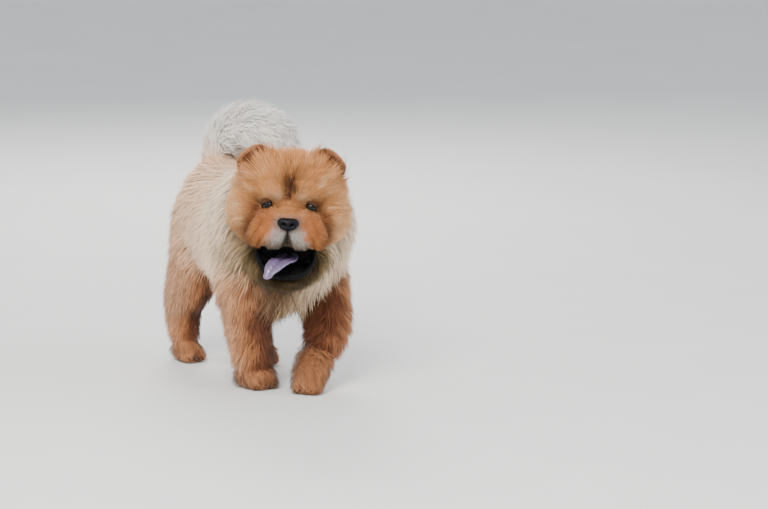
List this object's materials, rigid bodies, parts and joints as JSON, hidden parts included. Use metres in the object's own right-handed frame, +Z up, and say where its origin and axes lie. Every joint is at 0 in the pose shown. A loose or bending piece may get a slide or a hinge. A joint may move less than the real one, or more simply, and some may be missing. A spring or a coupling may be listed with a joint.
{
  "type": "chow chow",
  "caption": "Life-size walking chow chow as a still museum model: lion-like ruff, plumed tail over the back, broad head turned aside, mouth open with a blue tongue.",
  "frame": {"origin": "centre of the bounding box, on the floor", "axes": "-Y the way the dog walks, +X the dog's left, +Z up"},
  "size_m": [0.3452, 0.7492, 0.644],
  "materials": {
    "eye": "wet dark brown eye with a clear highlight",
    "nose_leather": "damp, pebbled black nose",
    "lip_skin": "smooth blue-black lip and gum skin",
    "tongue_skin": "wet blue-violet tongue",
    "face_coat": "soft short red fur",
    "cream_coat": "deep off-standing cream fur",
    "white_coat": "long off-white fur",
    "red_coat": "dense red fur"
  },
  "bodies": {
    "root": {"eye_left": "eye", "eye_right": "eye", "nose": "nose_leather", "tongue": "tongue_skin", "jaw": "lip_skin", "chin": "face_coat", "head": "face_coat", "ear_left": "face_coat", "ear_right": "face_coat", "neck": "cream_coat", "torso": "cream_coat", "foreleg_right": "red_coat", "foreleg_left": "red_coat", "hindleg_right": "red_coat", "hindleg_left": "red_coat", "forepaw_right": "red_coat", "forepaw_left": "red_coat", "hindpaw_right": "red_coat", "hindpaw_left": "red_coat", "tail": "white_coat"}
  },
  "joints": []
}
